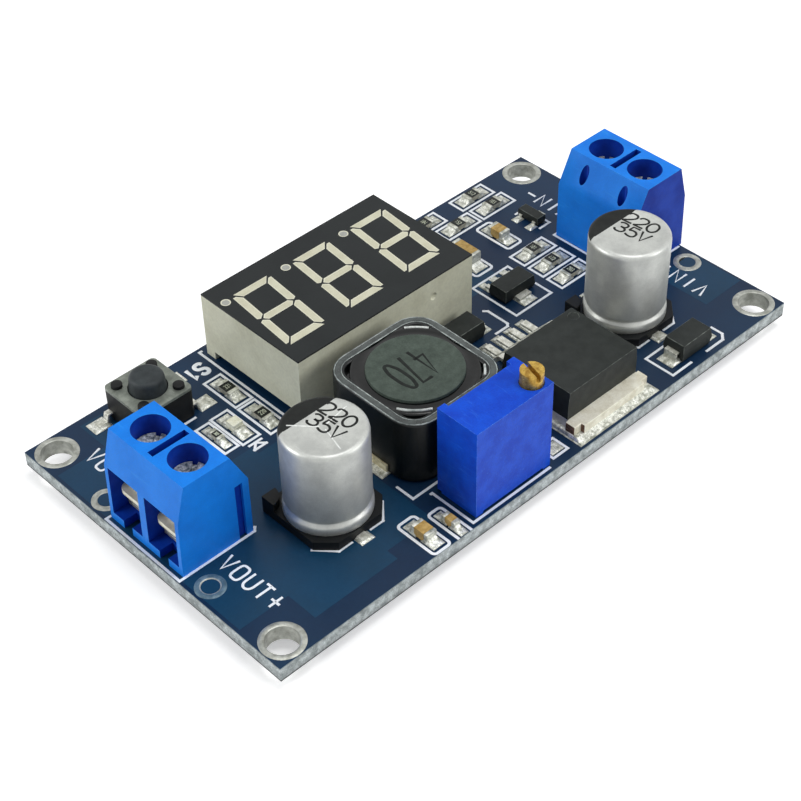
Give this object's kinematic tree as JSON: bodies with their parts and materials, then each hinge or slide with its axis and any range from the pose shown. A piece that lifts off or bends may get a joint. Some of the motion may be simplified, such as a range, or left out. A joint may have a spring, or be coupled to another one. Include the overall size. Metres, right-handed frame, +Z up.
{
  "type": "buck converter module",
  "caption": "Adjustable step-down converter board with a multiplexed digit meter, mode button, trimmer, shielded inductor and screw terminals.",
  "frame": {"origin": "centre of the four corner holes, at the underside of the circuit board", "axes": "+X along the board towards the output terminal, +Y across the board towards the trimmer, +Z up through the components"},
  "size_m": [0.0668, 0.0365, 0.0144],
  "materials": {
    "board_mask": "satin blue solder mask on glass-fibre laminate",
    "plating": "tinned",
    "pad_tin": "solder",
    "print_white": "white print",
    "solder": "bright solder",
    "terminal_blue": "semi-gloss",
    "contact_tin": "tin plated",
    "clamp_steel": "zinc plated",
    "screw_steel": "zinc plated",
    "can_aluminium": "satin",
    "base_black": "matte",
    "bung_rubber": "matte",
    "winding_paper": "matte",
    "mark_black": "printed",
    "ferrite": "matte",
    "shield_ferrite": "matte",
    "copper_wire": "enamelled",
    "clip_tin": "tinned",
    "mould_black": "matte moulding compound",
    "tab_tin": "tinned copper",
    "lead_tin": "tinned",
    "display_beige": "satin",
    "display_black": "satin",
    "display_cream": "translucent resin",
    "display_laminate": "satin",
    "button_black": "matte",
    "button_steel": "brushed",
    "plunger_black": "satin",
    "dome_steel": "sprung steel",
    "trimmer_blue": "semi-gloss",
    "trimmer_resin": "resin",
    "adjuster_brass": "turned",
    "carriage_ivory": "matte",
    "element_ceramic": "matte",
    "resistor_black": "glazed",
    "capacitor_tan": "fired",
    "lamp_resin": "resin"
  },
  "bodies": {
    "module": {"circuit_board": "board_mask", "hole_plating": "plating", "solder_pads": "pad_tin", "board_print": "print_white", "underside_solder": "solder", "output_terminal_housing": "terminal_blue", "output_terminal_contacts": "contact_tin", "input_terminal_housing": "terminal_blue", "input_terminal_contacts": "contact_tin", "output_capacitor_can": "can_aluminium", "output_capacitor_base": "base_black", "input_capacitor_can": "can_aluminium", "input_capacitor_base": "base_black", "capacitor_leads": "lead_tin", "capacitor_bungs": "bung_rubber", "capacitor_windings": "winding_paper", "capacitor_marks": "mark_black", "inductor_core": "ferrite", "inductor_shield": "shield_ferrite", "inductor_winding": "copper_wire", "inductor_terminals": "clip_tin", "regulator_package": "mould_black", "regulator_heat_tab": "tab_tin", "regulator_leads": "lead_tin", "output_diode_package": "mould_black", "input_diode_package": "mould_black", "meter_regulator_package": "mould_black", "transistor_package": "mould_black", "small_package_leads": "lead_tin", "display_shell": "display_beige", "display_face": "display_black", "display_bars": "display_cream", "display_board": "display_laminate", "display_pins": "plating", "button_base": "button_black", "button_cover": "button_steel", "button_dome": "dome_steel", "button_legs": "lead_tin", "trimmer_housing": "trimmer_blue", "trimmer_base": "trimmer_resin", "trimmer_element": "element_ceramic", "trimmer_pins": "plating", "chip_resistors": "resistor_black", "chip_capacitors": "capacitor_tan", "chip_ends": "pad_tin", "indicator_lamp": "lamp_resin", "meter_controller": "mould_black"},
    "output_clamp_1": {"output_clamp_1": "clamp_steel"},
    "output_clamp_2": {"output_clamp_2": "clamp_steel"},
    "output_screw_1": {"output_screw_1": "screw_steel"},
    "output_screw_2": {"output_screw_2": "screw_steel"},
    "input_clamp_1": {"input_clamp_1": "clamp_steel"},
    "input_clamp_2": {"input_clamp_2": "clamp_steel"},
    "input_screw_1": {"input_screw_1": "screw_steel"},
    "input_screw_2": {"input_screw_2": "screw_steel"},
    "button_plunger": {"button_plunger": "plunger_black"},
    "trimmer_screw": {"trimmer_screw": "adjuster_brass"},
    "trimmer_carriage": {"trimmer_carriage": "carriage_ivory"}
  },
  "joints": [
    {"name": "output_screw_1_turn", "type": "hinge", "parent": "module", "child": "output_screw_1", "pos_m": [0.02875, -0.00309, 0.009], "axis": [0, 0, -1], "range_deg": [0, 1441]},
    {"name": "output_clamp_1_rise", "type": "slide", "parent": "module", "child": "output_clamp_1", "axis": [0, 0, 1], "range_m": [0, 0.0018]},
    {"name": "output_screw_2_turn", "type": "hinge", "parent": "module", "child": "output_screw_2", "pos_m": [0.02875, 0.00199, 0.009], "axis": [0, 0, -1], "range_deg": [0, 1441]},
    {"name": "output_clamp_2_rise", "type": "slide", "parent": "module", "child": "output_clamp_2", "axis": [0, 0, 1], "range_m": [0, 0.0018]},
    {"name": "input_screw_1_turn", "type": "hinge", "parent": "module", "child": "input_screw_1", "pos_m": [-0.0297, 0.00199, 0.009], "axis": [0, 0, -1], "range_deg": [0, 1441]},
    {"name": "input_clamp_1_rise", "type": "slide", "parent": "module", "child": "input_clamp_1", "axis": [0, 0, 1], "range_m": [0, 0.0018]},
    {"name": "input_screw_2_turn", "type": "hinge", "parent": "module", "child": "input_screw_2", "pos_m": [-0.0297, -0.00309, 0.009], "axis": [0, 0, -1], "range_deg": [0, 1441]},
    {"name": "input_clamp_2_rise", "type": "slide", "parent": "module", "child": "input_clamp_2", "axis": [0, 0, 1], "range_m": [0, 0.0018]},
    {"name": "trimmer_screw_turn", "type": "hinge", "parent": "module", "child": "trimmer_screw", "pos_m": [0.00147, 0.01586, 0.012], "axis": [0, 0, -1], "range_deg": [-4321, 4321]},
    {"name": "trimmer_carriage_travel", "type": "slide", "parent": "module", "child": "trimmer_carriage", "axis": [0, 0, 1], "range_m": [-0.00288, 0.00288]},
    {"name": "button_press", "type": "slide", "parent": "module", "child": "button_plunger", "axis": [0, 0, -1], "range_m": [0, 0.00025], "stiffness_N_per_m": 2000}
  ],
  "couplings": [
    {"joint": "output_screw_1_turn", "follows": "output_clamp_1_rise", "rad_per_m": 13963},
    {"joint": "output_screw_2_turn", "follows": "output_clamp_2_rise", "rad_per_m": 13963},
    {"joint": "input_screw_1_turn", "follows": "input_clamp_1_rise", "rad_per_m": 13963},
    {"joint": "input_screw_2_turn", "follows": "input_clamp_2_rise", "rad_per_m": 13963},
    {"joint": "trimmer_screw_turn", "follows": "trimmer_carriage_travel", "rad_per_m": 26180}
  ]
}
